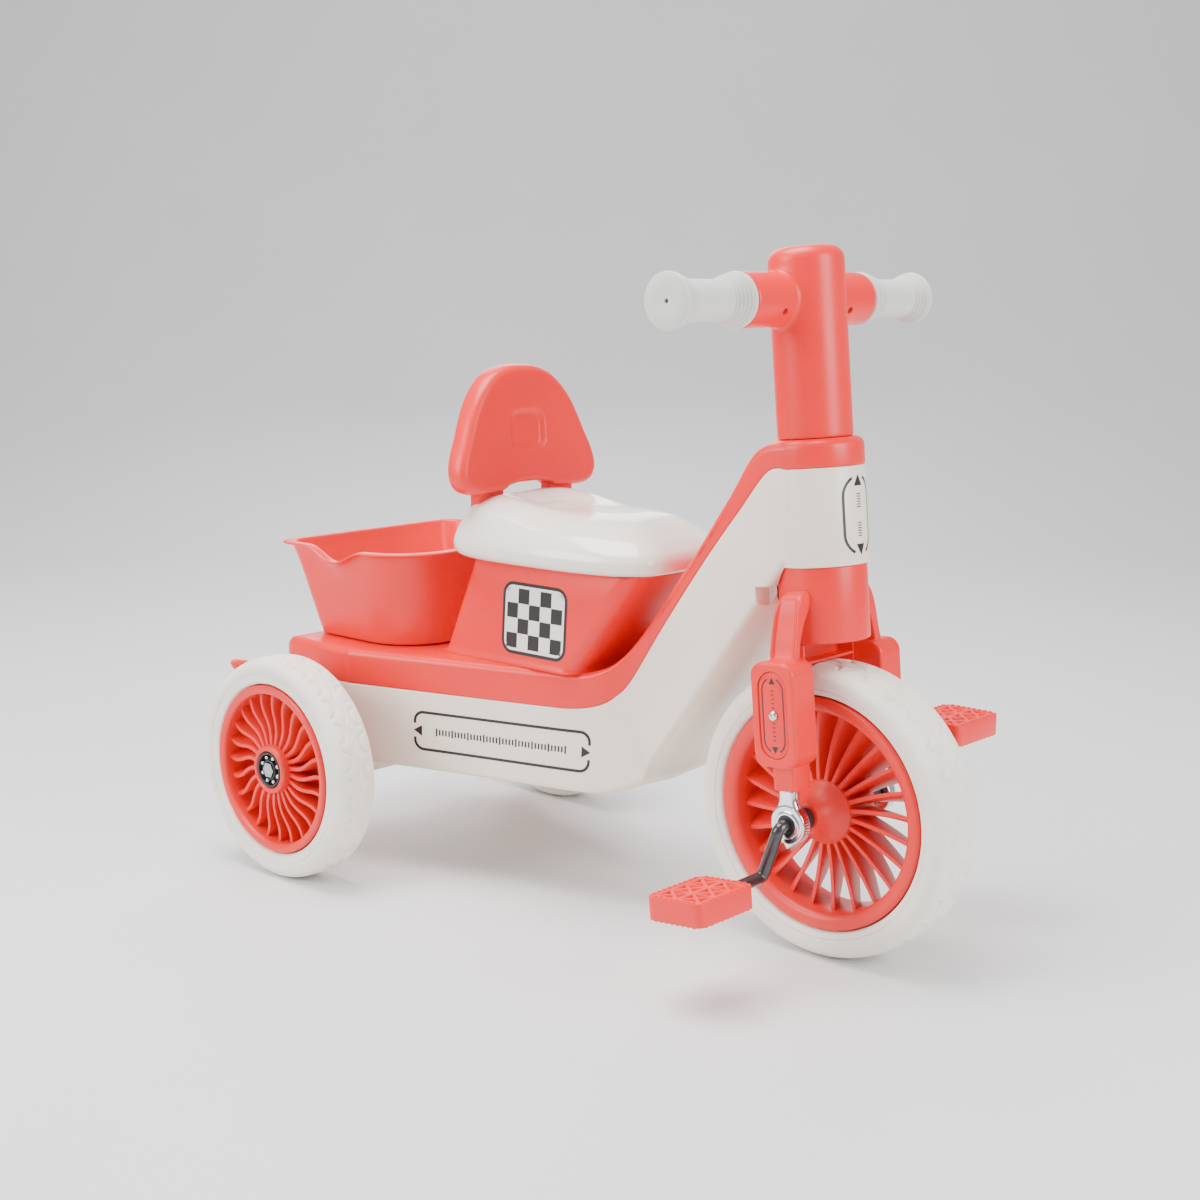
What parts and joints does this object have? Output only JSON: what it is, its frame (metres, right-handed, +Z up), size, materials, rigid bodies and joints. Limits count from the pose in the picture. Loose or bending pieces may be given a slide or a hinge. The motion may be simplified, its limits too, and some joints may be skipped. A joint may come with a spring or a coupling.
{
  "type": "children's tricycle",
  "caption": "Children's pedal tricycle with a raked steering head, fan-bladed wheels, a moulded seat with a backrest, and an open storage tub behind it.",
  "frame": {"origin": "on the floor under the middle of the overall length and width", "axes": "+X forward, +Y to the rider's left, +Z up"},
  "size_m": [0.7287, 0.405, 0.567],
  "materials": {
    "shell_white": "satin moulded plastic",
    "shell_coral": "satin moulded plastic",
    "seat_white": "glossy moulded plastic",
    "wheel_coral": "satin moulded plastic",
    "pedal_coral": "fine textured moulded plastic",
    "tyre_white": "matt foamed tyre",
    "grip_grey": "matt soft rubber",
    "bush_black": "matt nylon",
    "crank_black": "black paint on steel rod",
    "chrome": "bright plating",
    "steel": "plain steel"
  },
  "bodies": {
    "frame": {"lower_shell": "shell_white", "upper_shell": "shell_coral", "seat_box": "shell_coral", "seat": "seat_white", "backrest": "shell_coral", "storage_tub": "shell_coral", "rear_bumper": "shell_coral", "head_bush_lower": "bush_black", "head_bush_upper": "bush_black", "rear_axle": "steel", "axle_bush_right": "bush_black", "axle_bush_left": "bush_black", "axle_spacer_right": "bush_black", "axle_spacer_left": "bush_black", "axle_nut_right": "steel", "axle_nut_left": "steel"},
    "steering": {"stem": "shell_coral", "stem_screw_right": "steel", "stem_screw_left": "steel", "handlebar_tube": "steel", "grip_right": "grip_grey", "grip_left": "grip_grey", "steering_tube": "steel", "fork_crown": "shell_coral", "fork_yoke": "shell_coral", "fork_leg_right": "shell_coral", "fork_leg_left": "shell_coral", "fork_cover_right": "shell_coral", "fork_cover_left": "shell_coral", "fork_screw_right": "chrome", "fork_screw_left": "chrome", "axle_hanger_right": "chrome", "axle_hanger_left": "chrome", "hanger_bush_right": "bush_black", "hanger_bush_left": "bush_black"},
    "front_wheel": {"front_rim": "wheel_coral", "front_tyre": "tyre_white", "axle_sleeve_right": "bush_black", "axle_sleeve_left": "bush_black", "crank_axle": "crank_black"},
    "pedal_right": {"pedal_right": "pedal_coral"},
    "pedal_left": {"pedal_left": "pedal_coral"},
    "rear_wheel_right": {"rear_rim_right": "wheel_coral", "rear_tyre_right": "tyre_white", "rear_bearing_right": "steel"},
    "rear_wheel_left": {"rear_rim_left": "wheel_coral", "rear_tyre_left": "tyre_white", "rear_bearing_left": "steel"}
  },
  "joints": [
    {"name": "steer", "type": "hinge", "parent": "frame", "child": "steering", "pos_m": [0.245, 0, 0.12], "axis": [-0.0906, 0, 0.9959], "range_deg": [-30, 30]},
    {"name": "front_wheel_spin", "type": "hinge", "parent": "steering", "child": "front_wheel", "pos_m": [0.245, 0, 0.12], "axis": [0, 1, 0], "continuous": true},
    {"name": "pedal_right_spin", "type": "hinge", "parent": "front_wheel", "child": "pedal_right", "pos_m": [0.23249, -0.155, 0.07802], "axis": [0, 1, 0], "continuous": true},
    {"name": "pedal_left_spin", "type": "hinge", "parent": "front_wheel", "child": "pedal_left", "pos_m": [0.25751, 0.155, 0.16198], "axis": [0, 1, 0], "continuous": true},
    {"name": "rear_wheel_right_spin", "type": "hinge", "parent": "frame", "child": "rear_wheel_right", "pos_m": [-0.2364, -0.179, 0.102], "axis": [0, 1, 0], "continuous": true},
    {"name": "rear_wheel_left_spin", "type": "hinge", "parent": "frame", "child": "rear_wheel_left", "pos_m": [-0.2364, 0.179, 0.102], "axis": [0, 1, 0], "continuous": true}
  ]
}
